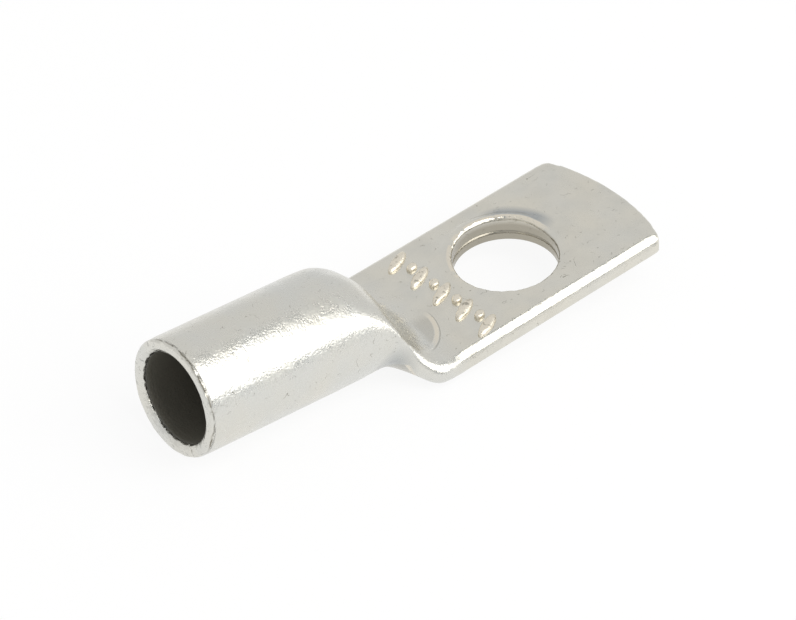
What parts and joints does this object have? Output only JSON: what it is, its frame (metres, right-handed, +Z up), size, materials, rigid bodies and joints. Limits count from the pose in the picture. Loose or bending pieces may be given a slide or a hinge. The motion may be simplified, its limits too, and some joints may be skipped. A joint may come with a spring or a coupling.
{
  "type": "tube cable lug",
  "caption": "One-piece plated copper tube lug: round barrel for a stripped cable, pressed shoulder and a flat palm with a stud hole and a rounded tip.",
  "frame": {"origin": "centre of the barrel's mouth, on the barrel's axis", "axes": "+X from the mouth along the barrel towards the palm, +Z up, away from the surface that the barrel lies on, +Y across the palm"},
  "size_m": [0.0354, 0.0112, 0.0074],
  "materials": {
    "tinned_copper": "satin tin plate over copper"
  },
  "bodies": {
    "root": {"tube_lug": "tinned_copper"}
  },
  "joints": []
}
